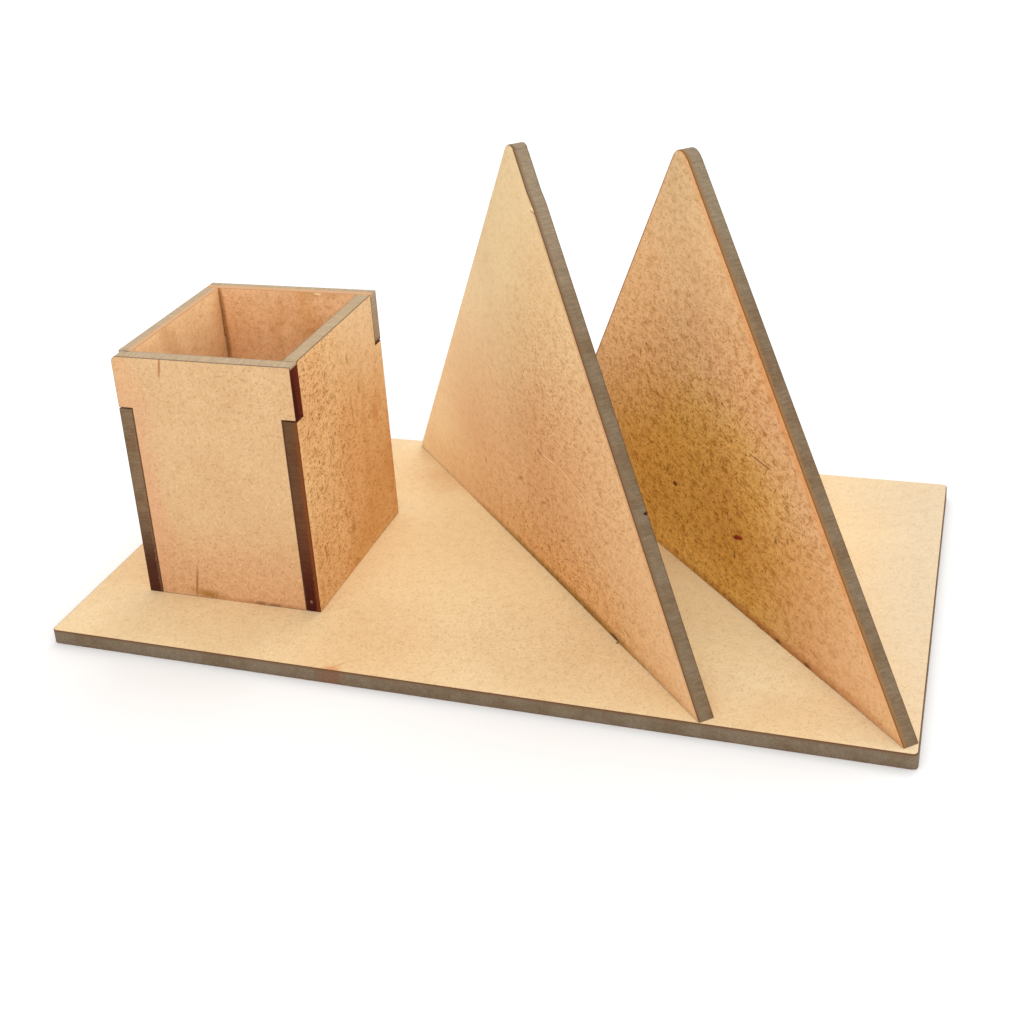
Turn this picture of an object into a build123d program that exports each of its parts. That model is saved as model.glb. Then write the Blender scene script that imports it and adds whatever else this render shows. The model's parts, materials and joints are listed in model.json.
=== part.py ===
from build123d import *
import os
from math import cos, radians, sin

os.makedirs("parts", exist_ok=True)

# Desk organizer laser cut from one 3 mm sheet: a base plate, a four-wall pen cup and two
# triangular dividers standing on the diagonal. Millimetres, +Z up, origin under the centre
# of the base plate, +X along its long side, -Y towards the front edge.

sheet = 3.0  # thickness of every plate, and of every slot

base_length = 165.0
base_width = 95.0
base_corner = 1.0  # corners eased by handling

cup_x = -70.2  # outer front left corner of the cup
cup_y = -29.7
cup_width = 38.8
cup_depth = 42.0
cup_height = 52.6  # above the base plate
cup_step = 41.5  # height of the corner step above the base plate
cup_tab = 14.0  # length of the tab under each cup wall

divider_angle = 132.8  # direction of both feet across the base, in degrees
divider_tab = 20.0
divider_tab_inset = 22.0  # from the end of a foot to the nearer end of a tab

left_divider_start = (47.1, -47.4)  # front lower corner of the face that looks left
left_divider_foot = 126.0
left_divider_apex = (61.6, 90.3)  # sharp apex: along the foot, and above the base plate
left_divider_tip = 2.8  # radius worn on the apex

right_divider_start = (80.2, -46.4)
right_divider_foot = 124.8
right_divider_apex = (64.7, 88.9)
right_divider_tip = 3.0

cup_mid_x = cup_x + cup_width / 2
cup_mid_y = cup_y + cup_depth / 2


def divider_plane(start):
    """Upright plane with its x along the foot of a divider and its y straight up."""
    turn = radians(divider_angle)
    return Plane(
        origin=(start[0], start[1], sheet),
        x_dir=(cos(turn), sin(turn), 0),
        z_dir=(sin(turn), -cos(turn), 0),
    )


def wall_outline(length, lower_inset, upper_inset):
    """Outline of a cup wall with its corner steps and its tab, on the current plane."""
    half = length / 2
    lower = half - lower_inset
    upper = half - upper_inset
    tab = cup_tab / 2
    with BuildSketch() as outline:
        with BuildLine():
            Polyline(
                (-tab, -sheet),
                (tab, -sheet),
                (tab, 0),
                (lower, 0),
                (lower, cup_step),
                (upper, cup_step),
                (upper, cup_height),
                (-upper, cup_height),
                (-upper, cup_step),
                (-lower, cup_step),
                (-lower, 0),
                (-tab, 0),
                close=True,
            )
        make_face()
    return outline.sketch


def tab_mids(foot):
    """Middles of the two tabs of a divider, measured along its foot."""
    near = divider_tab_inset + divider_tab / 2
    return (near, foot - near)


def divider_outline(foot, apex, tip):
    """Outline of a divider: a wide triangle with a rounded apex and two tabs."""
    with BuildSketch() as outline:
        with BuildLine():
            Polyline((0, 0), (foot, 0), apex, close=True)
        make_face()
        fillet(outline.vertices().sort_by(Axis.Y)[-1], radius=tip)
        for mid in tab_mids(foot):
            with Locations((mid, -sheet / 2)):
                Rectangle(divider_tab, sheet)
    return outline.sketch


# Planes of the upright plates: x along the plate, y up, z through the thickness.
front_plane = Plane(origin=(cup_mid_x, cup_y + sheet, sheet), x_dir=(1, 0, 0), z_dir=(0, -1, 0))
back_plane = Plane(origin=(cup_mid_x, cup_y + cup_depth, sheet), x_dir=(1, 0, 0), z_dir=(0, -1, 0))
left_plane = Plane(origin=(cup_x, cup_mid_y, sheet), x_dir=(0, 1, 0), z_dir=(1, 0, 0))
right_plane = Plane(
    origin=(cup_x + cup_width - sheet, cup_mid_y, sheet), x_dir=(0, 1, 0), z_dir=(1, 0, 0)
)
left_divider_plane = divider_plane(left_divider_start)
right_divider_plane = divider_plane(right_divider_start)

# Base plate with a slot through it for every tab.
with BuildPart() as base_plate:
    with BuildSketch():
        RectangleRounded(base_length, base_width, base_corner)
    extrude(amount=sheet)
    for slot_y in (cup_y + sheet / 2, cup_y + cup_depth - sheet / 2):
        with BuildSketch():
            with Locations((cup_mid_x, slot_y)):
                Rectangle(cup_tab, sheet)
        extrude(amount=sheet, mode=Mode.SUBTRACT)
    for slot_x in (cup_x + sheet / 2, cup_x + cup_width - sheet / 2):
        with BuildSketch():
            with Locations((slot_x, cup_mid_y)):
                Rectangle(sheet, cup_tab)
        extrude(amount=sheet, mode=Mode.SUBTRACT)
    for plane, foot in (
        (left_divider_plane, left_divider_foot),
        (right_divider_plane, right_divider_foot),
    ):
        for mid in tab_mids(foot):
            with BuildSketch(plane):
                with Locations((mid, -sheet / 2)):
                    Rectangle(divider_tab, sheet)
            extrude(amount=sheet, mode=Mode.SUBTRACT)
base_plate.part.label = "base_plate"
export_step(base_plate.part, "parts/base_plate.step")

# Front and back cup walls reach across the corners above the step.
with BuildPart() as cup_wall_front:
    with BuildSketch(front_plane):
        add(wall_outline(cup_width, sheet, 0))
    extrude(amount=sheet)
cup_wall_front.part.label = "cup_wall_front"
export_step(cup_wall_front.part, "parts/cup_wall_front.step")

with BuildPart() as cup_wall_back:
    with BuildSketch(back_plane):
        add(wall_outline(cup_width, sheet, 0))
    extrude(amount=sheet)
cup_wall_back.part.label = "cup_wall_back"
export_step(cup_wall_back.part, "parts/cup_wall_back.step")

# Side cup walls reach across the corners below the step.
with BuildPart() as cup_wall_left:
    with BuildSketch(left_plane):
        add(wall_outline(cup_depth, 0, sheet))
    extrude(amount=sheet)
cup_wall_left.part.label = "cup_wall_left"
export_step(cup_wall_left.part, "parts/cup_wall_left.step")

with BuildPart() as cup_wall_right:
    with BuildSketch(right_plane):
        add(wall_outline(cup_depth, 0, sheet))
    extrude(amount=sheet)
cup_wall_right.part.label = "cup_wall_right"
export_step(cup_wall_right.part, "parts/cup_wall_right.step")

# Dividers.
with BuildPart() as divider_left:
    with BuildSketch(left_divider_plane):
        add(divider_outline(left_divider_foot, left_divider_apex, left_divider_tip))
    extrude(amount=sheet)
divider_left.part.label = "divider_left"
export_step(divider_left.part, "parts/divider_left.step")

with BuildPart() as divider_right:
    with BuildSketch(right_divider_plane):
        add(divider_outline(right_divider_foot, right_divider_apex, right_divider_tip))
    extrude(amount=sheet)
divider_right.part.label = "divider_right"
export_step(divider_right.part, "parts/divider_right.step")
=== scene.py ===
import json
import math

import bmesh
import bpy
from mathutils import Matrix, Vector

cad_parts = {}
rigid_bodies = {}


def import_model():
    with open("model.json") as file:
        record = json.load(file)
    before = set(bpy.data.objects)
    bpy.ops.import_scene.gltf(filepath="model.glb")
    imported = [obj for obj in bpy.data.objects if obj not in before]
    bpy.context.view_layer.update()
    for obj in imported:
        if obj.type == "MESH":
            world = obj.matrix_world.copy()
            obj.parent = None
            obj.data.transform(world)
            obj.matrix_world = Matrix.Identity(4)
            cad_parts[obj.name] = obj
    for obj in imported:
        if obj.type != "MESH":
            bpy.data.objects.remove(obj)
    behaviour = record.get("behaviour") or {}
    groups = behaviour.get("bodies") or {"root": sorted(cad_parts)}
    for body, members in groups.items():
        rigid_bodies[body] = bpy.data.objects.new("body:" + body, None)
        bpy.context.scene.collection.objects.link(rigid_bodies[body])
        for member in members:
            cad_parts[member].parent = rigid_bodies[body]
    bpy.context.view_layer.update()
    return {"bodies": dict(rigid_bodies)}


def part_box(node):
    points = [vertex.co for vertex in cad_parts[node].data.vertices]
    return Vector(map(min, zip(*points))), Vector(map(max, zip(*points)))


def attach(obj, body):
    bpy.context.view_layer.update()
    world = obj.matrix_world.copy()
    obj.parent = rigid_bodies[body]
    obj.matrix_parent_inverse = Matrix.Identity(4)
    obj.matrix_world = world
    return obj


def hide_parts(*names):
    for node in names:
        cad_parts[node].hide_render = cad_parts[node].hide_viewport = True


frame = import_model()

body = list(frame["bodies"])[0]

mm = 0.001
baseLow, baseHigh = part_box("base_plate")
sheet = baseHigh.z - baseLow.z  # every plate is cut from this one sheet
print("frame loaded, sheet", round(sheet / mm, 2), "mm")


def addBlock(name, low, high):
    # a cube at its size and place, the board before it is cut
    bpy.ops.object.select_all(action="DESELECT")
    middle = [(a + b) / 2 for a, b in zip(low, high)]
    bpy.ops.mesh.primitive_cube_add(size=1, location=middle)
    piece = bpy.context.object
    piece.name = name
    piece.data.name = name
    piece.scale = [b - a for a, b in zip(low, high)]
    bpy.ops.object.transform_apply(location=True, rotation=True, scale=True)
    return piece


def pickFaces(piece, wanted):
    bpy.ops.mesh.select_mode(type="FACE")
    bpy.ops.mesh.select_all(action="DESELECT")
    mesh = bmesh.from_edit_mesh(piece.data)
    for face in mesh.faces:
        face.select_set(wanted(face.calc_center_median(), face.normal))
    bmesh.update_edit_mesh(piece.data)


def pickEdges(piece, wanted):
    bpy.ops.mesh.select_mode(type="EDGE")
    bpy.ops.mesh.select_all(action="DESELECT")
    mesh = bmesh.from_edit_mesh(piece.data)
    for edge in mesh.edges:
        edge.select_set(wanted(edge.verts[0].co, edge.verts[1].co))
    bmesh.update_edit_mesh(piece.data)


def pickPoints(piece, wanted):
    bpy.ops.mesh.select_mode(type="VERT")
    bpy.ops.mesh.select_all(action="DESELECT")
    mesh = bmesh.from_edit_mesh(piece.data)
    for point in mesh.verts:
        point.select_set(wanted(point.co))
    bmesh.update_edit_mesh(piece.data)


def cutAcross(point, normal, dropOuter=False):
    # a straight saw line through the whole piece
    bpy.ops.mesh.select_all(action="SELECT")
    bpy.ops.mesh.bisect(
        plane_co=point, plane_no=normal, clear_outer=dropOuter, use_fill=dropOuter
    )


def pullOut(step):
    bpy.ops.mesh.extrude_region_move(TRANSFORM_OT_translate={"value": step})


def cleanUp():
    bpy.ops.mesh.select_all(action="SELECT")
    bpy.ops.mesh.remove_doubles(threshold=0.005 * mm)
    bpy.ops.mesh.normals_make_consistent(inside=False)
    bpy.ops.object.mode_set(mode="OBJECT")


def useModifier(piece, kind, **settings):
    bpy.context.view_layer.objects.active = piece
    made = piece.modifiers.new(kind.title(), kind)
    for key, value in settings.items():
        setattr(made, key, value)
    bpy.ops.object.modifier_apply(modifier=made.name)


def finishBoard(piece, faceLook, edgeLook, thickAxis, ease):
    # slot 0 is the pressed face, slot 1 the cut edge and its softened corner
    piece.data.materials.clear()
    piece.data.materials.append(faceLook)
    piece.data.materials.append(edgeLook)
    for polygon in piece.data.polygons:
        polygon.material_index = 0 if abs(polygon.normal[thickAxis]) > 0.9 else 1
    useModifier(
        piece, "BEVEL", width=ease, segments=2, limit_method="ANGLE",
        angle_limit=math.radians(35), material=1, use_clamp_overlap=True,
    )


def setDown(piece, place, turn):
    # from the bench, where it was cut, to its place on the base
    bpy.ops.object.select_all(action="DESELECT")
    piece.select_set(True)
    bpy.context.view_layer.objects.active = piece
    piece.location = place
    piece.rotation_euler = (0, 0, turn)
    bpy.ops.object.transform_apply(location=True, rotation=True, scale=True)
    bpy.ops.object.shade_smooth_by_angle(angle=math.radians(30))


def tone(red, green, blue, gain=1.0):
    # 0 to 255, turned to the shader's linear scale
    linear = []
    for part in (red, green, blue):
        part = part / 255
        part = part / 12.92 if part <= 0.04045 else ((part + 0.055) / 1.055) ** 2.4
        linear.append(min(part * gain, 0.97))
    return (*linear, 1)


def addNode(tree, kind, inputs=None, **settings):
    made = tree.nodes.new(kind)
    for key, value in settings.items():
        setattr(made, key, value)
    for key, value in (inputs or {}).items():
        if isinstance(value, bpy.types.NodeSocket):
            tree.links.new(value, made.inputs[key])
        else:
            made.inputs[key].default_value = value
    return made


def calc(tree, operation, a, b=0.0, c=0.0, clamp=False):
    return addNode(
        tree, "ShaderNodeMath", {0: a, 1: b, 2: c}, operation=operation, use_clamp=clamp
    ).outputs[0]


def spread(tree, value, low, high, toLow=0.0, toHigh=1.0, smooth=True):
    return addNode(
        tree, "ShaderNodeMapRange",
        {"Value": value, "From Min": low, "From Max": high, "To Min": toLow, "To Max": toHigh},
        interpolation_type="SMOOTHSTEP" if smooth else "LINEAR",
    ).outputs[0]


def blend(tree, amount, first, second, mode="MIX"):
    return addNode(
        tree, "ShaderNodeMix", {0: amount, 6: first, 7: second},
        data_type="RGBA", blend_type=mode, clamp_factor=True,
    ).outputs[2]


def cloud(tree, vector, scale, detail=2.0, rough=0.5, twist=0.0):
    return addNode(
        tree, "ShaderNodeTexNoise",
        {"Vector": vector, "Scale": scale, "Detail": detail, "Roughness": rough, "Distortion": twist},
    )


def makeFibreGroup():
    # one short bent fibre in each cell of a scattered grid, turned at random
    group = bpy.data.node_groups.new("boardFibres", "ShaderNodeTree")
    sockets = group.interface
    sockets.new_socket("Place", in_out="INPUT", socket_type="NodeSocketVector")
    for label in ("Cell", "Long", "Thick", "Keep"):
        sockets.new_socket(label, in_out="INPUT", socket_type="NodeSocketFloat")
    sockets.new_socket("Mark", in_out="OUTPUT", socket_type="NodeSocketFloat")
    given = group.nodes.new("NodeGroupInput").outputs
    size = calc(group, "DIVIDE", 1.0, given["Cell"])
    grid = addNode(group, "ShaderNodeVectorMath", {0: given["Place"], "Scale": size}, operation="SCALE")
    cells = addNode(
        group, "ShaderNodeTexVoronoi", {"Vector": grid.outputs[0], "Scale": 1.0, "Randomness": 1.0},
        voronoi_dimensions="2D", feature="F1",
    )
    away = addNode(
        group, "ShaderNodeVectorMath", {0: grid.outputs[0], 1: cells.outputs["Position"]},
        operation="SUBTRACT",
    )
    dice = addNode(group, "ShaderNodeSeparateColor", {0: cells.outputs["Color"]}).outputs
    angle = calc(group, "MULTIPLY", dice[0], 6.283)  # any way round
    turned = addNode(
        group, "ShaderNodeVectorRotate", {"Vector": away.outputs[0], "Angle": angle},
        rotation_type="Z_AXIS",
    )
    parts = addNode(group, "ShaderNodeSeparateXYZ", {0: turned.outputs[0]}).outputs
    bend = calc(group, "MULTIPLY", calc(group, "SUBTRACT", dice[1], 0.5), 1.6)
    bowed = calc(group, "MULTIPLY_ADD", calc(group, "MULTIPLY", parts[0], parts[0]), bend, parts[1])
    reach = calc(group, "MULTIPLY", given["Long"], calc(group, "MULTIPLY_ADD", dice[1], 0.65, 0.35))
    along = spread(group, calc(group, "ABSOLUTE", parts[0]), reach, calc(group, "MULTIPLY", reach, 0.55))
    across = spread(
        group, calc(group, "ABSOLUTE", bowed), given["Thick"], calc(group, "MULTIPLY", given["Thick"], 0.25)
    )
    kept = calc(group, "LESS_THAN", dice[2], given["Keep"])
    strength = calc(group, "MULTIPLY_ADD", dice[0], 0.6, 0.4)
    line = calc(group, "MULTIPLY", along, across)
    mark = calc(group, "MULTIPLY", line, calc(group, "MULTIPLY", kept, strength))
    addNode(group, "NodeGroupOutput", {"Mark": mark})
    return group


fibreGroup = makeFibreGroup()
fibreKinds = {
    # cell in mm, half length and half width in cells, share of cells with a fibre, shift of the grid
    "short": (1.1, 0.43, 0.165, 0.6, 0.0),
    "felt": (0.58, 0.46, 0.22, 0.72, 31.0),
    "longer": (2.1, 0.44, 0.075, 0.5, 57.0),
    "light": (1.3, 0.42, 0.09, 0.5, 83.0),
}
noiseScale = {  # per millimetre
    "broad": 0.06, "swirl": 0.11, "patch": 0.45, "clump": 0.95, "grain": 1.7, "mottle": 4.2,
    "soot": 0.22, "lines": 2.2, "grit": 3.4, "fineLines": 5.5,
}


def fibres(tree, plane, kind):
    cell, long, thick, keep, shift = fibreKinds[kind]
    moved = addNode(tree, "ShaderNodeVectorMath", {0: plane, 1: (shift, shift * 1.7, 0)}, operation="ADD")
    return addNode(
        tree, "ShaderNodeGroup",
        {"Place": moved.outputs[0], "Cell": cell, "Long": long, "Thick": thick, "Keep": keep},
        node_tree=fibreGroup,
    ).outputs[0]


def boardSpace(tree, board):
    # millimetres on the board: along it, up it or across it, and how deep in the sheet
    where = addNode(tree, "ShaderNodeTexCoord").outputs["Object"]
    local = addNode(
        tree, "ShaderNodeMapping",
        {"Vector": where, "Location": board["origin"], "Rotation": (0, 0, board["turn"]),
         "Scale": (mm, mm, mm)},
        vector_type="TEXTURE",
    ).outputs[0]
    parts = addNode(tree, "ShaderNodeSeparateXYZ", {0: local}).outputs
    up, deep = (parts[1], parts[2]) if board["flat"] else (parts[2], parts[1])
    plane = addNode(tree, "ShaderNodeCombineXYZ", {0: parts[0], 1: up}).outputs[0]
    return local, plane, up, deep


def spot(tree, plane, wobble, mark):
    # a soft oval on the board, or a line when it is long and thin
    along, up, halfLong, halfHigh, turn, soft = mark[:6]
    moved = plane if wobble is None else wobble
    oval = addNode(
        tree, "ShaderNodeMapping",
        {"Vector": moved, "Location": (along, up, 0), "Rotation": (0, 0, math.radians(turn)),
         "Scale": (halfLong, halfHigh, 1)},
        vector_type="TEXTURE",
    ).outputs[0]
    away = addNode(tree, "ShaderNodeVectorMath", {0: oval}, operation="LENGTH").outputs["Value"]
    return spread(tree, away, 1 + soft, max(1 - soft, 0.0))


def paintSpots(tree, plane, wobble, colour, marks, gain, share=1.0):
    for mark in marks:
        small = min(mark[2], mark[3]) < 1.5  # mm; small marks keep their crisp shape
        amount = calc(tree, "MULTIPLY", spot(tree, plane, None if small else wobble, mark), mark[7])
        amount = calc(tree, "MULTIPLY", amount, share)
        colour = blend(tree, amount, colour, tone(*mark[6], gain))
    return colour


def wobbled(tree, plane, amount):
    # the same place, pushed about, so that a stain's rim isn't a clean oval
    swirl = cloud(tree, plane, noiseScale["swirl"], 3.0).outputs["Color"]
    middle = addNode(tree, "ShaderNodeVectorMath", {0: swirl, 1: (0.5, 0.5, 0.5)}, operation="SUBTRACT")
    scaled = addNode(tree, "ShaderNodeVectorMath", {0: middle.outputs[0], "Scale": amount}, operation="SCALE")
    flat = addNode(tree, "ShaderNodeVectorMath", {0: scaled.outputs[0], 1: (1, 1, 0)}, operation="MULTIPLY")
    return addNode(tree, "ShaderNodeVectorMath", {0: plane, 1: flat.outputs[0]}, operation="ADD").outputs[0]


def newMaterial(name):
    material = bpy.data.materials.new(name)
    material.use_nodes = True
    tree = material.node_tree
    tree.nodes.clear()
    return material, tree


def finishShader(tree, look, colour, height, rough):
    bump = addNode(
        tree, "ShaderNodeBump", {"Strength": look["bump"], "Distance": 0.12 * mm, "Height": height}
    ).outputs[0]
    shader = addNode(
        tree, "ShaderNodeBsdfPrincipled",
        {"Base Color": colour, "Roughness": rough, "Normal": bump, "Specular IOR Level": look["sheen"]},
    )
    addNode(tree, "ShaderNodeOutputMaterial", {"Surface": shader.outputs[0]})


def pressedFace(name, board):
    # the smooth face of raw fibreboard: warm tan, cloudy, with dark and pale fibres pressed in
    material, tree = newMaterial(name)
    gain = board["gain"]
    _, plane, _, deep = boardSpace(tree, board)
    drawn = addNode(
        tree, "ShaderNodeVectorMath", {0: plane, 1: (board["drawn"], 1, 1)}, operation="MULTIPLY"
    ).outputs[0]
    # one side carries the stain marks and the painted light and shade, the far side is much plainer
    fromMiddle = calc(tree, "SUBTRACT", deep, sheet / mm / 2 if board["flat"] else 0.0)
    onPaintedSide = spread(tree, calc(tree, "MULTIPLY", fromMiddle, board["paintedSide"]), -0.5, 0.5)
    paintShare = calc(tree, "MULTIPLY_ADD", onPaintedSide, 1.0 - board["farSidePaint"], board["farSidePaint"])
    wobble = wobbled(tree, plane, board["wobble"])
    broad = cloud(tree, plane, noiseScale["broad"], 3.0).outputs["Fac"]
    patch = cloud(tree, plane, noiseScale["patch"], 3.0, 0.6).outputs["Fac"]
    clump = cloud(tree, drawn, noiseScale["clump"], 3.0, 0.6, 0.6).outputs["Fac"]
    grain = cloud(tree, drawn, noiseScale["grain"], 4.0, 0.65, 0.4).outputs["Fac"]
    mottle = cloud(tree, drawn, noiseScale["mottle"], 2.0, 0.6).outputs["Fac"]
    colour = blend(
        tree, spread(tree, broad, 0.35, 0.65), tone(*board["pale"], gain), tone(*board["warm"], gain)
    )
    colour = paintSpots(tree, plane, wobble, colour, board["stainsAndPaintedLight"], gain, paintShare)
    # cloudy patches, then fine grain that is stronger where the board is busier
    busy = board["fibreBase"]
    for mark in board["busy"]:
        more = calc(tree, "MULTIPLY", spot(tree, plane, wobble, mark), paintShare)
        busy = calc(tree, "MULTIPLY_ADD", more, mark[6], busy)
    uneven = calc(tree, "MULTIPLY_ADD", patch, 0.55, calc(tree, "MULTIPLY", clump, 0.45))
    cloudy = calc(tree, "MULTIPLY_ADD", busy, board["cloudy"], 0.10)
    shade = calc(tree, "MULTIPLY", spread(tree, uneven, 0.44, 0.66), cloudy)
    colour = blend(tree, shade, colour, board["shadeTint"], "MULTIPLY")
    speckle = calc(tree, "MULTIPLY_ADD", grain, 0.6, calc(tree, "MULTIPLY", mottle, 0.4))
    swing = calc(tree, "MULTIPLY_ADD", busy, board["grain"], 0.02)
    fine = calc(tree, "MULTIPLY_ADD", spread(tree, speckle, 0.36, 0.64, -1.0, 1.0, smooth=False), swing, 1.0)
    colour = addNode(
        tree, "ShaderNodeVectorMath", {0: colour, "Scale": fine}, operation="SCALE"
    ).outputs[0]
    # fibres: a few pale ones, short and long dark ones, and a dense felt of tiny ones
    light = calc(tree, "MULTIPLY", fibres(tree, drawn, "light"), board["paleFibres"])
    colour = blend(tree, light, colour, tone(*board["paleFibre"], gain))
    dark = calc(tree, "MAXIMUM", fibres(tree, drawn, "short"), fibres(tree, drawn, "longer"))
    feltAmount = calc(tree, "MULTIPLY_ADD", busy, 0.85, -0.10, clamp=True)
    felted = calc(tree, "MULTIPLY", fibres(tree, drawn, "felt"), feltAmount)
    dark = calc(tree, "MAXIMUM", calc(tree, "MULTIPLY", dark, busy), felted)
    colour = blend(tree, calc(tree, "MINIMUM", dark, 1.0), colour, board["fibreTint"], "MULTIPLY")
    colour = paintSpots(tree, plane, wobble, colour, board["marks"], gain, onPaintedSide)
    # pressed surface: barely rough to the touch
    height = calc(tree, "MULTIPLY_ADD", grain, 0.6, calc(tree, "MULTIPLY", patch, 0.5))
    height = calc(tree, "MULTIPLY_ADD", dark, -0.2, height)
    finishShader(tree, board, colour, height, spread(tree, grain, 0.3, 0.7, *board["rough"]))
    return material


def cutEdge(name, board):
    # the laser's cut: brown char with fine lines straight through the sheet
    material, tree = newMaterial(name)
    look = board["edge"]
    gain = look["gain"]
    local, plane, up, deep = boardSpace(tree, board)
    thin = (1, 1, 0.10) if board["flat"] else (1, 0.10, 1)  # stretched through the sheet
    drawn = addNode(tree, "ShaderNodeVectorMath", {0: local, 1: thin}, operation="MULTIPLY").outputs[0]
    lines = cloud(tree, drawn, noiseScale["lines"], 3.0, 0.7).outputs["Fac"]
    fineLines = cloud(tree, drawn, noiseScale["fineLines"], 2.0, 0.6).outputs["Fac"]
    soot = cloud(tree, local, noiseScale["soot"], 4.0, 0.6).outputs["Fac"]
    grit = cloud(tree, local, noiseScale["grit"], 3.0, 0.7).outputs["Fac"]
    colour = blend(
        tree, spread(tree, soot, 0.36, 0.66), tone(*look["grey"], gain), tone(*look["brown"], gain)
    )
    colour = paintSpots(tree, plane, None, colour, look["stainsAndPaintedLight"], gain)
    shade = calc(tree, "MULTIPLY_ADD", lines, 0.62, calc(tree, "MULTIPLY", fineLines, 0.38))
    shade = spread(tree, shade, 0.34, 0.66, 1.0 - look["lines"], 1.0 + look["lines"])
    speck = spread(tree, grit, 0.32, 0.68, 1.0 - look["grit"], 1.0 + look["grit"])
    colour = addNode(
        tree, "ShaderNodeVectorMath", {0: colour, "Scale": calc(tree, "MULTIPLY", shade, speck)},
        operation="SCALE",
    ).outputs[0]
    # toasted towards the side where the beam came in, and a thin dark corner line on both sides
    half = sheet / mm / 2
    fromMiddle = calc(tree, "SUBTRACT", deep, half if board["flat"] else 0.0)
    entry = calc(tree, "MULTIPLY", fromMiddle, look["entrySide"])
    ragged = calc(tree, "ADD", spread(tree, grit, 0.3, 0.7, -0.25, 0.25, smooth=False), entry)
    toast = spread(tree, ragged, half - look["toastDeep"], half - look["toastDeep"] * 0.35)
    below = spread(tree, up, look["toastTop"], look["toastTop"] - 0.5)
    toast = calc(tree, "MULTIPLY", toast, calc(tree, "MULTIPLY", below, look["toasted"]))
    colour = blend(tree, toast, colour, tone(*look["toast"], gain))
    corner = spread(tree, calc(tree, "ABSOLUTE", fromMiddle), half - 0.32, half - 0.08)
    colour = blend(tree, calc(tree, "MULTIPLY", corner, look["burn"]), colour, tone(*look["burnt"], gain))
    for at, radii, dotTone, amount in look["dots"]:
        ball = addNode(
            tree, "ShaderNodeMapping", {"Vector": local, "Location": at, "Scale": radii},
            vector_type="TEXTURE",
        ).outputs[0]
        away = addNode(tree, "ShaderNodeVectorMath", {0: ball}, operation="LENGTH").outputs["Value"]
        inside = calc(tree, "MULTIPLY", spread(tree, away, 1.25, 0.75), amount)
        colour = blend(tree, inside, colour, tone(*dotTone, gain))
    height = calc(tree, "MULTIPLY_ADD", lines, 0.7, calc(tree, "MULTIPLY_ADD", fineLines, 0.4, grit))
    finishShader(tree, look, colour, height, spread(tree, soot, 0.3, 0.7, *look["rough"]))
    return material


# the look that all the boards share; each piece changes what differs on it
plainBoard = {
    "flat": False,
    "paintedSide": -1,  # which side of the sheet carries the stain marks and the painted light and shade
    "farSidePaint": 0.2,  # how much of the stain marks and painted light and shade the other side shows
    "drawn": 1.0,  # below 1 the fibres lie longer along the board
    "wobble": 9.0,  # mm that a stain's rim wanders
    "gain": 1.0,
    "pale": (226, 188, 141),
    "warm": (220, 178, 131),
    "cloudy": 0.5,
    "shadeTint": (0.74, 0.62, 0.46, 1),  # multiplies the board where it is cloudy
    "grain": 0.14,
    "fibreBase": 0.35,
    "fibreTint": (0.56, 0.40, 0.20, 1),  # multiplies what lies under a dark fibre
    "paleFibre": (245, 214, 170),
    "paleFibres": 0.35,
    "bump": 0.35,
    "rough": (0.62, 0.80),
    "sheen": 0.16,
    # ovals: along, up, half length, half height in mm, degrees, softness, colour, strength
    "stainsAndPaintedLight": [],  # under the fibres; real stain marks and painted light and shade alike
    "marks": [],  # over them
    "busy": [],  # the same, but the last number is how much busier the fibres are
}
plainEdge = {
    "gain": 1.0,
    "grey": (124, 108, 88),
    "brown": (116, 94, 70),
    "lines": 0.15,
    "grit": 0.13,
    "burnt": (84, 52, 34),
    "burn": 0.55,
    "entrySide": 1,
    "toast": (120, 84, 52),
    "toastDeep": 0.8,
    "toasted": 0.5,
    "toastTop": 200,  # mm up the board, out of reach but on the cup's walls
    "bump": 0.5,
    "rough": (0.60, 0.78),
    "sheen": 0.08,
    "stainsAndPaintedLight": [],
    "dots": [],  # place and radii along, through and up the board, colour, strength
}


cupFrontLow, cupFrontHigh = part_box("cup_wall_front")
cupBackLow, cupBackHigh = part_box("cup_wall_back")
cupLeftLow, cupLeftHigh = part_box("cup_wall_left")
cupRightLow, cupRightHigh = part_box("cup_wall_right")

cup = {
    "step": 41.5 * mm,  # above the base
    "tab": 14 * mm,
    "stepGap": 0.22 * mm,  # what the beam took out under each ear
    "fitGap": 0.05 * mm,  # between a wall's end and the wall it butts against
    "ease": 0.14 * mm,
    "knock": 1.3 * mm,  # what the front wall's upper left corner has lost
}


def cutCupWall(name, length, height, wideAbove):
    half = length / 2
    core = half - sheet - cup["fitGap"]
    thick = sheet / 2
    wall = addBlock(name, (-core, -thick, 0), (core, thick, height))
    bpy.ops.object.mode_set(mode="EDIT")
    edge = cup["step"] + cup["stepGap"] / 2 * (1 if wideAbove else -1)
    cutAcross((0, 0, edge), (0, 0, 1))
    ear = sheet + cup["fitGap"]
    for side in (-1, 1):
        pickFaces(wall, lambda place, normal: normal.x * side > 0.9 and (place.z > edge) == wideAbove)
        pullOut((side * ear, 0, 0))
    tab = cup["tab"] / 2
    for side in (-1, 1):
        cutAcross((side * tab, 0, 0), (1, 0, 0))
    pickFaces(wall, lambda place, normal: normal.z < -0.9 and abs(place.x) < tab and place.z < edge / 2)
    pullOut((0, 0, -sheet))
    cleanUp()
    return wall


def middleOf(low, high):
    return Vector(((low.x + high.x) / 2, (low.y + high.y) / 2, baseHigh.z))


cupHeight = cupFrontHigh.z - baseHigh.z
wallFront = cutCupWall("cupFront", cupFrontHigh.x - cupFrontLow.x, cupHeight, True)
wallBack = cutCupWall("cupBack", cupBackHigh.x - cupBackLow.x, cupHeight, True)
wallLeft = cutCupWall("cupLeft", cupLeftHigh.y - cupLeftLow.y, cupHeight, False)
wallRight = cutCupWall("cupRight", cupRightHigh.y - cupRightLow.y, cupHeight, False)

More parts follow.
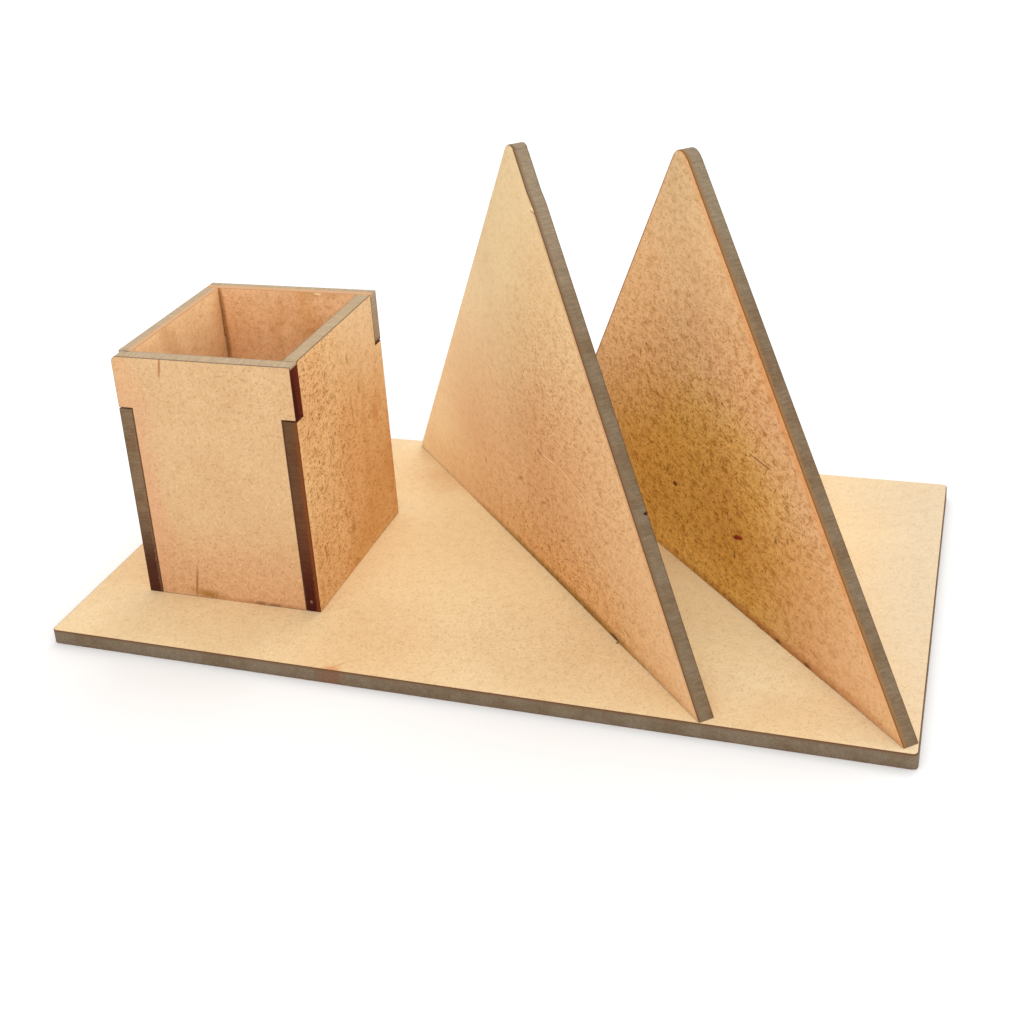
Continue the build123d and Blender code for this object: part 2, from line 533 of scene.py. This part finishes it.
bpy.context.view_layer.objects.active = wallFront
bpy.ops.object.mode_set(mode="EDIT")
nearCorner = (cupFrontLow.x - cupFrontHigh.x) / 2 + mm
pickEdges(
    wallFront,
    lambda a, b: max(a.x, b.x) < nearCorner and min(a.z, b.z) > cupHeight - 0.1 * mm,
)
bpy.ops.mesh.bevel(offset=cup["knock"], segments=5, affect="EDGES")
bpy.ops.object.mode_set(mode="OBJECT")


rimEdge = {**plainEdge, "toastTop": 52.3}  # the cup's rim stays pale
frontBoard = {
    **plainBoard,
    "origin": middleOf(cupFrontLow, cupFrontHigh),
    "turn": 0.0,
    # painted shade: the front wall's tones are darker than the other walls', to offset the front light that
    # falls on it
    "pale": (212, 175, 131),
    "warm": (207, 168, 124),
    "gain": 1.015,
    "cloudy": 0.4,
    "grain": 0.17,
    "fibreBase": 0.4,
    "stainsAndPaintedLight": [
        (2, 3, 24, 9, 0, 0.8, (208, 158, 115), 0.75),
        (-15.5, 20, 3.0, 26, 0, 0.6, (212, 162, 122), 0.85),
        (-18.5, 46, 2.0, 9, 0, 0.7, (216, 166, 122), 0.6),
        (-5.6, 0.9, 2.8, 0.9, -6, 0.9, (156, 110, 46), 0.85),
        (8, 0.2, 9, 0.6, 0, 0.9, (166, 106, 66), 0.6),
    ],
    "busy": [(10, 46, 16, 10, 0, 0.8, 0.12), (0, 4, 20, 9, 0, 0.8, 0.2)],
    "marks": [
        (-8.7, 51.0, 0.24, 2.4, -10, 0.8, (160, 88, 48), 0.75),
        (-7.9, 3.4, 0.26, 3.0, -9, 0.8, (140, 92, 38), 0.8),
        (6.2, 0.4, 1.0, 0.4, 0, 0.7, (112, 76, 44), 0.6),
        (9.4, 0.3, 1.2, 0.35, 0, 0.7, (104, 70, 42), 0.5),
    ],
    "edge": {
        **rimEdge,
        "entrySide": 1,
        "toast": (104, 34, 18),
        "toasted": 0.5,
        "stainsAndPaintedLight": [
            # painted shade: dark maroon up the wall's right end, for how the cut edge looks at a glancing
            # angle
            (19.4, 47, 2.5, 9, 0, 0.4, (90, 28, 16), 1.0),
            (0, 52.6, 90, 0.5, 0, 0.3, (181, 158, 128), 0.95),
        ],
        "dots": [
            # painted shade: a darker streak in the same maroon strip at the wall's right end
            ((19.4, -1.2, 44), (0.6, 0.9, 7), (44, 20, 12), 0.7),
            ((-17.6, 1.4, 52.6), (1.3, 0.35, 0.5), (70, 44, 26), 0.8),
            ((17.9, 1.45, 52.6), (1.2, 0.3, 0.5), (92, 66, 44), 0.6),
        ],
    },
}
backBoard = {
    **plainBoard,
    "origin": middleOf(cupBackLow, cupBackHigh),
    "turn": 0.0,
    "pale": (246, 199, 149),
    "warm": (238, 187, 136),
    "gain": 1.02,
    "cloudy": 1.1,
    "grain": 0.22,
    "fibreBase": 0.45,
    "paleFibres": 0.5,
    "stainsAndPaintedLight": [
        (0, 53, 30, 4.5, 0, 0.9, (232, 184, 140), 0.7),
        (6, 52, 5, 2.0, -8, 0.8, (190, 138, 76), 0.65),
        (-7, 49, 12, 5, 0, 0.8, (228, 178, 128), 0.45),
        (-16.2, 43, 0.8, 13, 1, 0.6, (160, 108, 54), 0.85),
        (4, 46, 3, 8, 10, 0.9, (222, 164, 104), 0.6),
        (-3, 45, 1.6, 6, -4, 0.9, (220, 160, 104), 0.5),
    ],
    "marks": [(7.3, 52.3, 0.8, 0.3, 0, 0.6, (246, 214, 170), 0.9)],
    "edge": {
        **rimEdge,
        "grey": (168, 152, 130),
        "brown": (162, 144, 118),
        "burn": 0.4,
        "toasted": 0.2,
        "stainsAndPaintedLight": [
            (0, 52.6, 18.4, 0.6, 0, 0.1, (178, 156, 126), 0.95),
            (19.4, 41.3, 2.5, 0.8, 0, 0.6, (70, 44, 28), 0.9),
        ],
        # painted highlight: a pale line along the inner edge of the rim
        "dots": [((0, -1.6, 52.6), (45, 1.5, 0.6), (206, 158, 116), 0.9)],
    },
}
leftBoard = {
    **plainBoard,
    "origin": middleOf(cupLeftLow, cupLeftHigh),
    "turn": math.radians(90),
    "pale": (246, 206, 156),
    "warm": (240, 197, 147),
    "gain": 1.01,
    "cloudy": 0.9,
    "grain": 0.18,
    "fibreBase": 0.4,
    "stainsAndPaintedLight": [(-4, 48, 2.0, 8, 25, 0.8, (220, 168, 116), 0.6)],
    "edge": {
        **rimEdge,
        "grey": (122, 100, 76),
        "brown": (114, 88, 64),
        "entrySide": -1,
        "toast": (146, 106, 76),
        "toastDeep": 0.6,
        "toasted": 0.5,
        "stainsAndPaintedLight": [
            # painted shade: dark maroon low on the wall's end, for how the cut edge looks at a glancing angle
            (-21, -3, 3, 16, 0, 0.5, (74, 40, 28), 1.0),
            (0, 52.6, 90, 0.5, 0, 0.3, (184, 160, 130), 0.95),
        ],
        # painted highlight: a pale line along the inner edge of the rim
        "dots": [((0, -1.6, 52.6), (60, 1.05, 1.0), (210, 160, 116), 0.85)],
    },
}
rightBoard = {
    **plainBoard,
    "origin": middleOf(cupRightLow, cupRightHigh),
    "turn": math.radians(90),
    "pale": (229, 190, 138),
    "warm": (224, 181, 129),
    "cloudy": 0.62,
    "gain": 1.02,
    "drawn": 0.7,
    "fibreBase": 0.72,
    "fibreTint": (0.50, 0.33, 0.15, 1),
    "stainsAndPaintedLight": [
        (12, 48, 16, 11, 0, 0.8, (230, 198, 154), 0.9),
        (-15, 46, 7, 9, 0, 0.8, (222, 175, 125), 0.6),
        (2, 25, 7, 14, 0, 0.9, (224, 177, 121), 0.6),
        (3, 4, 8, 4, 20, 0.9, (208, 156, 92), 0.7),
        (-2, 14, 2.0, 15, -6, 0.9, (212, 158, 102), 0.35),
        (8, 22, 1.6, 18, -4, 0.9, (212, 156, 98), 0.45),
        (15.1, 28, 1.6, 3.0, 0, 0.9, (206, 146, 88), 0.6),
        (20, 14, 2.4, 9, 0, 0.9, (214, 158, 102), 0.5),
        (-2.1, 8.9, 1.0, 1.2, 0, 0.9, (168, 112, 52), 0.6),
        (14, 9, 11, 12, 0, 0.8, (216, 168, 108), 0.5),
    ],
    "busy": [(-12, 30, 11, 26, 0, 0.8, 0.5), (12, 46, 12, 9, 0, 0.8, -0.25)],
    "marks": [
        (3.3, 32.7, 0.3, 3.6, 4, 0.9, (176, 114, 62), 0.6),
        (7.5, 35.8, 0.35, 0.9, 0, 0.8, (140, 86, 42), 0.6),
        (3.5, 44.2, 0.35, 1.1, 4, 0.8, (150, 96, 50), 0.6),
        (-15.5, 10.2, 0.3, 1.6, 2, 0.8, (136, 84, 40), 0.65),
        (-5.6, 31.9, 0.32, 0.4, 0, 0.7, (116, 70, 36), 0.7),
        (-13.7, 29.5, 0.34, 0.4, 0, 0.7, (112, 66, 34), 0.7),
        (-16.8, 37.2, 0.6, 0.25, 40, 0.7, (112, 66, 34), 0.7),
        (-12.1, 44.9, 0.45, 0.25, 30, 0.7, (120, 70, 36), 0.7),
        (-15.5, 49.9, 0.5, 0.25, -30, 0.7, (116, 70, 36), 0.7),
        (-4.5, 12.8, 0.35, 1.6, 6, 0.8, (162, 104, 52), 0.5),
    ],
    "edge": {
        **rimEdge,
        "grey": (98, 74, 46),
        "brown": (90, 64, 40),
        "entrySide": -1,
        "toast": (128, 66, 28),
        "toastDeep": 1.0,
        "toasted": 0.8,
        "stainsAndPaintedLight": [
            # painted shade: dark maroon down the wall's end, darkest low down, for how the cut edge looks at
            # a glancing angle
            (-21, -6, 3, 38, 0, 0.7, (98, 56, 36), 0.9),
            (-21, -4, 3, 15, 0, 0.6, (70, 26, 18), 1.0),
            (0, 52.6, 90, 0.5, 0, 0.3, (182, 158, 126), 0.95),
        ],
        "dots": [((-21, 0.3, 2.2), (0.5, 0.3, 0.35), (140, 104, 84), 0.8)],
    },
}

for wall, node, board in (
    (wallFront, "cup_wall_front", frontBoard),
    (wallBack, "cup_wall_back", backBoard),
    (wallLeft, "cup_wall_left", leftBoard),
    (wallRight, "cup_wall_right", rightBoard),
):
    faceLook, edgeLook = pressedFace(wall.name + "Face", board), cutEdge(wall.name + "Cut", board)
    finishBoard(wall, faceLook, edgeLook, 1, cup["ease"])
    setDown(wall, board["origin"], board["turn"])
    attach(wall, body)
    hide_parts(node)
print("cup walls cut and set")


dividerSize = {
    "angle": 132.8,  # degrees from +X to the way the feet run
    "tab": 20 * mm,
    "inset": 22 * mm,
    "wornTip": 1.12,  # the tip is rounded this much further than its radius says
    "ease": 0.14 * mm,
}
leftCut = {
    "apex": 90.3 * mm,  # height of the tip before it is rounded
    "reach": 61.6 * mm,  # and how far along the foot it stands
    "tip": 2.8 * mm,  # radius
    "nick": {"at": 78.5 * mm, "run": 1.8 * mm, "deep": 0.6 * mm},
}
rightCut = {"apex": 88.9 * mm, "reach": 64.7 * mm, "tip": 3.0 * mm, "nick": None}


def layOut(node):
    # the foot line and length, worked back from the box round the turned plate
    low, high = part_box(node)
    turn = math.radians(dividerSize["angle"])
    foot = (high.y - low.y - sheet * abs(math.cos(turn))) / math.sin(turn)
    start = Vector((high.x - sheet * math.sin(turn), low.y, baseHigh.z))
    middle = start + Vector((math.sin(turn), -math.cos(turn), 0)) * sheet / 2
    near = dividerSize["inset"] + dividerSize["tab"] / 2
    return {"origin": middle, "turn": turn, "foot": foot, "tabs": (near, foot - near)}


def cutDivider(name, plan, cut):
    foot, thick = plan["foot"], sheet / 2
    apex, reach, tip, nick = cut["apex"], cut["reach"], cut["tip"], cut["nick"]
    board = addBlock(name, (0, -thick, 0), (foot, thick, apex))
    bpy.ops.object.mode_set(mode="EDIT")
    cutAcross((reach, 0, apex), (-apex, 0, reach), dropOuter=True)
    cutAcross((reach, 0, apex), (apex, 0, foot - reach), dropOuter=True)
    pickEdges(board, lambda a, b: min(a.z, b.z) > apex - 0.5 * mm)
    half = (math.atan2(reach, apex) + math.atan2(foot - reach, apex)) / 2
    bpy.ops.mesh.bevel(offset=tip / math.tan(half) * dividerSize["wornTip"], segments=8, affect="EDGES")
    if nick:
        # above the nick the cut runs a little further in
        for height in (nick["at"], nick["at"] + nick["run"]):
            cutAcross((0, 0, height), (0, 0, 1))
        pickPoints(
            board,
            lambda p: p.z > nick["at"] + nick["run"] * 0.5 and p.x < reach - tip * 0.55,
        )
        bpy.ops.transform.translate(value=(nick["deep"] * apex / math.hypot(apex, reach), 0, 0))
    for middle in plan["tabs"]:
        for side in (-1, 1):
            cutAcross((middle + side * dividerSize["tab"] / 2, 0, 0), (1, 0, 0))
    pickFaces(
        board,
        lambda place, normal: normal.z < -0.9
        and min(abs(place.x - middle) for middle in plan["tabs"]) < dividerSize["tab"] / 2,
    )
    pullOut((0, 0, -sheet))
    cleanUp()
    return board


leftPlan = layOut("divider_left")
rightPlan = layOut("divider_right")
dividerLeft = cutDivider("dividerLeft", leftPlan, leftCut)
dividerRight = cutDivider("dividerRight", rightPlan, rightCut)

leftDividerBoard = {
    **plainBoard,
    "origin": leftPlan["origin"],
    "turn": leftPlan["turn"],
    "pale": (231, 205, 158),
    "warm": (226, 197, 151),
    "paintedSide": 1,
    "drawn": 0.68,
    "cloudy": 0.55,
    "grain": 0.13,
    "fibreBase": 0.22,
    "stainsAndPaintedLight": [
        (30, 18, 50, 40, 0, 0.5, (220, 177, 130), 1.0),
        (52, 22, 26, 14, 0, 0.8, (219, 171, 123), 0.8),
        # painted light: the divider's far end, next to the cup, made lighter against the shade the cup casts
        # there
        (112, 12, 38, 60, 0, 0.5, (243, 217, 172), 1.0),
        (85, 12, 14, 22, -4, 0.9, (226, 179, 134), 0.6),
        (104, 2, 18, 5, 0, 0.9, (228, 186, 142), 0.45),
        (50, 62, 7, 9, 0, 0.8, (222, 184, 136), 0.6),
        (48, 0, 30, 9, 0, 0.8, (223, 171, 112), 0.85),
        (8, 2, 14, 10, 0, 0.8, (224, 181, 134), 0.8),
        # a dark olive line along the foot, where the divider meets the base
        (52, 0.2, 34, 1.1, 0, 0.9, (156, 112, 46), 0.9),
        (38, 0.4, 13, 1.2, 1, 0.9, (146, 100, 38), 0.6),
    ],
    "busy": [
        (46, 26, 34, 24, -28, 0.7, 0.6),
        (48, 2, 44, 12, 0, 0.8, 0.5),
        (52, 50, 14, 16, 0, 0.9, 0.3),
    ],
    "marks": [
        (55.0, 26.9, 6.8, 0.18, -1, 0.6, (242, 206, 160), 0.6),
        (54.8, 26.6, 6.4, 0.12, -1, 0.6, (184, 126, 80), 0.5),
        (45.4, 26.4, 3.2, 0.15, 11, 0.6, (240, 202, 156), 0.55),
        (38.8, 25.2, 3.7, 0.14, 10, 0.6, (240, 202, 156), 0.5),
        (30.6, 24.6, 4.6, 0.14, 0, 0.6, (240, 202, 156), 0.45),
        (38.0, 22.0, 4.0, 0.12, 32, 0.6, (238, 200, 154), 0.35),
        (57.5, 26.9, 1.2, 0.2, 4, 0.6, (104, 64, 34), 0.75),
        (67.4, 16.9, 0.9, 0.45, -20, 0.8, (158, 104, 54), 0.7),
        (85.4, 13.4, 0.4, 0.5, 0, 0.7, (160, 104, 60), 0.6),
        (57.0, 15.9, 1.2, 0.3, -25, 0.7, (160, 96, 56), 0.6),
        (49.0, 11.2, 0.9, 0.3, -20, 0.7, (160, 92, 50), 0.6),
        (55.6, 6.3, 0.5, 0.9, 10, 0.7, (156, 100, 52), 0.5),
        (29.5, 0.3, 1.6, 0.4, 0, 0.5, (84, 52, 28), 0.85),
        (31.2, 45.0, 54, 0.34, 55.7, 0.8, (196, 134, 90), 0.55),
        # a small raised chip: a painted highlight on it and a painted shadow under it
        (53.3, 77.6, 1.0, 0.32, 12, 0.5, (250, 222, 176), 0.9),
        (53.4, 77.1, 1.0, 0.22, 12, 0.5, (150, 96, 60), 0.6),
    ],
    "edge": {
        **plainEdge,
        "grey": (126, 110, 88),
        "brown": (118, 98, 74),
        "toast": (124, 94, 62),
        "toastDeep": 0.9,
        "toasted": 0.6,
        "stainsAndPaintedLight": [(62, 92, 36, 30, 0, 0.6, (148, 131, 108), 0.9)],
        "dots": [((20.3, -1.1, 29.8), (0.4, 0.42, 0.26), (58, 24, 18), 0.95)],
    },
}
rightDividerBoard = {
    **plainBoard,
    "origin": rightPlan["origin"],
    "turn": rightPlan["turn"],
    "pale": (230, 195, 149),
    "warm": (226, 187, 141),
    "paintedSide": 1,
    "drawn": 0.68,
    "cloudy": 0.8,
    "shadeTint": (0.70, 0.56, 0.36, 1),
    "grain": 0.15,
    "fibreBase": 0.6,
    "fibreTint": (0.52, 0.35, 0.16, 1),
    "stainsAndPaintedLight": [
        (28, 36, 22, 36, 0, 0.6, (219, 169, 121), 0.9),
        (45, 46, 9, 14, 0, 0.8, (220, 166, 114), 0.6),
        (62, 84, 9, 9, 0, 0.8, (218, 182, 136), 0.9),
        # olive zone: partly the board's own colour, partly painted shade from the left divider standing in
        # front of it
        (66, 14, 31, 26, 0, 0.5, (230, 190, 102), 1.0),
        (46, 14, 10, 14, 0, 0.9, (220, 168, 80), 0.55),
        (47, 24, 11, 10, 0, 0.9, (214, 162, 84), 0.5),
        (53, 59, 7, 9, 0, 0.9, (218, 172, 124), 0.6),
        (28, 16, 10, 9, 0, 0.9, (214, 156, 90), 0.55),
        (88, 56, 17, 22, 0, 0.6, (242, 205, 158), 0.9),
        (74, 0, 26, 7, 0, 0.8, (244, 207, 122), 0.8),
        (12, 3, 16, 12, 0, 0.8, (224, 173, 124), 0.7),
        # a dark olive line along the foot, where the divider meets the base
        (38, 0.2, 32, 1.2, 0, 0.9, (172, 110, 58), 0.8),
    ],
    "busy": [
        (64, 24, 36, 28, 0, 0.7, 0.65),
        (58, 66, 10, 14, 0, 0.9, -0.1),
        (16, 8, 18, 14, 0, 0.9, -0.2),
    ],
    "marks": [
        (47.8, 15.7, 1.7, 0.45, -19, 0.35, (142, 30, 18), 0.95),
        (48.6, 15.2, 0.7, 0.3, -19, 0.5, (92, 24, 14), 0.7),
        (70.1, 17.1, 0.75, 0.5, -20, 0.4, (96, 38, 16), 0.9),
        (40.4, 34.6, 3.5, 0.16, 4, 0.6, (122, 66, 36), 0.75),
        (40.4, 34.95, 3.2, 0.12, 4, 0.6, (240, 200, 150), 0.5),
        (79.5, 44.0, 0.35, 0.26, 0, 0.6, (120, 70, 30), 0.8),
        (64.3, 50.6, 0.3, 0.26, 0, 0.6, (120, 70, 30), 0.7),
        (52.3, 41.4, 0.34, 0.3, 0, 0.6, (116, 64, 26), 0.8),
        (49.5, 34.9, 0.32, 0.3, 0, 0.6, (110, 62, 26), 0.8),
        (72.8, 19.4, 0.3, 0.9, 20, 0.7, (110, 66, 22), 0.6),
        (49.1, 11.3, 0.25, 0.8, 0, 0.7, (100, 52, 22), 0.7),
        (35.7, 20.9, 0.3, 0.7, 10, 0.7, (124, 64, 30), 0.7),
        (32.0, 22.5, 0.28, 0.5, 0, 0.7, (124, 64, 30), 0.7),
        (64.9, 32.9, 0.2, 1.2, 6, 0.7, (120, 76, 28), 0.6),
        (74.6, 32.4, 1.2, 1.6, 20, 0.9, (176, 116, 48), 0.45),
        (32.9, 44.0, 54, 0.85, 53.95, 0.95, (222, 148, 84), 0.55),
        (35.1, 0.4, 0.9, 0.35, 0, 0.7, (92, 56, 34), 0.75),
        (26.3, 0.4, 0.9, 0.35, 0, 0.7, (96, 58, 34), 0.75),
        (94.6, 44.3, 54, 0.2, -55.9, 0.7, (150, 84, 44), 0.75),
    ],
    "edge": {
        **plainEdge,
        "grey": (124, 106, 84),
        "brown": (116, 94, 70),
        "toast": (150, 106, 62),
        "toastDeep": 0.85,
        "toasted": 0.9,
        "burn": 0.35,
        "stainsAndPaintedLight": [(64.7, 90, 24, 24, 0, 0.7, (140, 124, 102), 0.9)],
    },
}

for piece, node, board in (
    (dividerLeft, "divider_left", leftDividerBoard),
    (dividerRight, "divider_right", rightDividerBoard),
):
    faceLook, edgeLook = pressedFace(piece.name + "Face", board), cutEdge(piece.name + "Cut", board)
    finishBoard(piece, faceLook, edgeLook, 1, dividerSize["ease"])
    setDown(piece, board["origin"], board["turn"])
    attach(piece, body)
    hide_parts(node)
print("dividers cut and set")


basePlan = {
    "corner": 1.0 * mm,  # rounding of the upright corners
    "slotGap": 0.03 * mm,  # kerf left round each tab
    "ease": 0.16 * mm,
}
base = addBlock("basePlate", baseLow, baseHigh)
bpy.ops.object.mode_set(mode="EDIT")
pickEdges(base, lambda a, b: abs(a.z - b.z) > sheet / 2)
bpy.ops.mesh.bevel(offset=basePlan["corner"], segments=5, affect="EDGES")
bpy.ops.object.mode_set(mode="OBJECT")

baseBoard = {
    **plainBoard,
    "flat": True,
    "paintedSide": 1,
    "origin": Vector((0, 0, 0)),
    "turn": 0.0,
    "pale": (234, 206, 162),
    "warm": (229, 199, 154),
    "gain": 1.005,
    "cloudy": 0.4,
    "grain": 0.15,
    "fibreBase": 0.27,
    "stainsAndPaintedLight": [
        (-80, 10, 24, 34, 0, 0.5, (221, 187, 144), 0.9),
        (-8, 6, 34, 34, -30, 0.6, (248, 227, 181), 1.0),
        (10, 30, 13, 22, 0, 0.8, (234, 195, 147), 0.8),
        # painted light: the base between the dividers made lighter, against the shade the dividers cast there
        (43, -16, 14, 27, 47, 0.6, (255, 236, 194), 1.0),
        (88, 10, 18, 60, 0, 0.6, (217, 197, 165), 1.0),
        (72, 42, 12, 12, 0, 0.8, (212, 190, 158), 0.5),
        (62, -42, 8, 6, 0, 0.8, (230, 192, 144), 0.4),
        (-18, -40, 12, 12, 20, 0.8, (224, 187, 138), 0.65),
        (-27, 30, 6, 5, 0, 0.8, (226, 186, 138), 0.5),
    ],
    "busy": [(0, -30, 60, 14, 0, 0.8, 0.15)],
    "marks": [
        (-21.4, -47.2, 1.5, 0.9, 0, 0.8, (206, 130, 84), 0.7),
        (-20.6, -45.6, 1.5, 0.22, 48, 0.8, (200, 136, 92), 0.55),
        (28, -27, 0.4, 0.35, 0, 0.5, (90, 60, 40), 0.7),
    ],
    "edge": {
        **plainEdge,
        "grey": (121, 106, 87),
        "brown": (112, 94, 74),
        "lines": 0.05,
        "grit": 0.16,
        "toast": (112, 78, 50),
        "toastDeep": 0.6,
        "toasted": 0.5,
        "burnt": (104, 66, 42),
        "burn": 0.7,
        "stainsAndPaintedLight": [(-21.6, -47.5, 2.2, 2, 0, 0.9, (128, 84, 62), 0.6)],
    },
}
faceLook, edgeLook = pressedFace("basePlateFace", baseBoard), cutEdge("basePlateCut", baseBoard)
finishBoard(base, faceLook, edgeLook, 2, basePlan["ease"])


def cutSlot(place, turn, length):
    long = length / 2 + basePlan["slotGap"]
    wide = sheet / 2 + basePlan["slotGap"]
    cutter = addBlock("slotCutter", (-long, -wide, -sheet * 2), (long, wide, sheet))
    setDown(cutter, place, turn)
    useModifier(base, "BOOLEAN", operation="DIFFERENCE", solver="EXACT", object=cutter)
    bpy.data.objects.remove(cutter, do_unlink=True)


for board in (frontBoard, backBoard, leftBoard, rightBoard):
    cutSlot(board["origin"], board["turn"], cup["tab"])
for plan in (leftPlan, rightPlan):
    for along in plan["tabs"]:
        way = Vector((math.cos(plan["turn"]), math.sin(plan["turn"]), 0))
        cutSlot(plan["origin"] + way * along, plan["turn"], dividerSize["tab"])
bpy.context.view_layer.objects.active = base
bpy.ops.object.mode_set(mode="EDIT")
cleanUp()
setDown(base, (0, 0, 0), 0)
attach(base, body)
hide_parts("base_plate")
print("base plate cut")


studio = {
    "floor": 8,  # metres
    "floorTones": ((0.90, 0.90, 0.90, 1), (0.92, 0.92, 0.92, 1)),
    "sky": 1.0,
    "skyTone": (1.0, 0.995, 0.985, 1),
    "far": 1.3,  # metres from the object to each soft light
    "lights": [
        # name, degrees round from the front, degrees up, watts, size
        ("frontSoft", 25, 30, 4.35, 1.0),
        ("backSoft", 170, 50, 4.7, 1.0),
    ],
}
bpy.ops.object.select_all(action="DESELECT")
bpy.ops.mesh.primitive_plane_add(size=studio["floor"], location=(0, 0, 0))
floor = bpy.context.object
floor.name = "studioFloor"
floorLook, floorTree = newMaterial("studioFloorPale")
floorPlace = addNode(floorTree, "ShaderNodeTexCoord").outputs["Object"]
floorCloud = cloud(floorTree, floorPlace, 3.0, 3.0).outputs["Fac"]
floorTone = blend(floorTree, spread(floorTree, floorCloud, 0.3, 0.7), *studio["floorTones"])
floorShader = addNode(
    floorTree, "ShaderNodeBsdfPrincipled",
    {"Base Color": floorTone, "Roughness": 0.9, "Specular IOR Level": 0.1},
)
addNode(floorTree, "ShaderNodeOutputMaterial", {"Surface": floorShader.outputs[0]})
floor.data.materials.append(floorLook)

world = bpy.data.worlds.new("studioWorld")
bpy.context.scene.world = world
world.use_nodes = True
sky = world.node_tree.nodes["Background"].inputs
sky["Color"].default_value = studio["skyTone"]
sky["Strength"].default_value = studio["sky"]

for name, swing, up, power, size in studio["lights"]:
    lampData = bpy.data.lights.new(name, "AREA")
    lampData.shape = "DISK"
    lampData.size = size
    lampData.energy = power
    lamp = bpy.data.objects.new(name, lampData)
    bpy.context.collection.objects.link(lamp)
    turn, rise = math.radians(swing), math.radians(up)
    place = Vector((math.sin(turn) * math.cos(rise), -math.cos(turn) * math.cos(rise), math.sin(rise)))
    lamp.location = place * studio["far"]
    lamp.rotation_euler = (-place).to_track_quat("-Z", "Y").to_euler()
bpy.context.scene.view_settings.view_transform = "Standard"


view = {
    "place": Vector((91.132, -256.747, 160.088)) * mm,
    "heading": -21.948,  # degrees from +Y towards +X
    "down": 20.47,  # degrees below level
    "tilt": -5.121,
    "lens": 52.468,
    "sensor": 36,
    "shift": (0.0703, -0.1973),
    "nearest": 0.01,
}
heading, down, tilt = (math.radians(view[part]) for part in ("heading", "down", "tilt"))
ahead = Vector((math.sin(heading) * math.cos(down), math.cos(heading) * math.cos(down), -math.sin(down)))
across = Vector((math.cos(heading), -math.sin(heading), 0))
above = across.cross(ahead)
side = across * math.cos(tilt) + above * math.sin(tilt)
top = above * math.cos(tilt) - across * math.sin(tilt)
cameraData = bpy.data.cameras.new("studioCamera")
cameraData.lens = view["lens"]
cameraData.sensor_width = view["sensor"]
cameraData.shift_x, cameraData.shift_y = view["shift"]
cameraData.clip_start = view["nearest"]
camera = bpy.data.objects.new("studioCamera", cameraData)
bpy.context.collection.objects.link(camera)
camera.location = view["place"]
camera.rotation_euler = Matrix((side, top, -ahead)).transposed().to_euler()
bpy.context.scene.camera = camera
print("studio and camera ready")
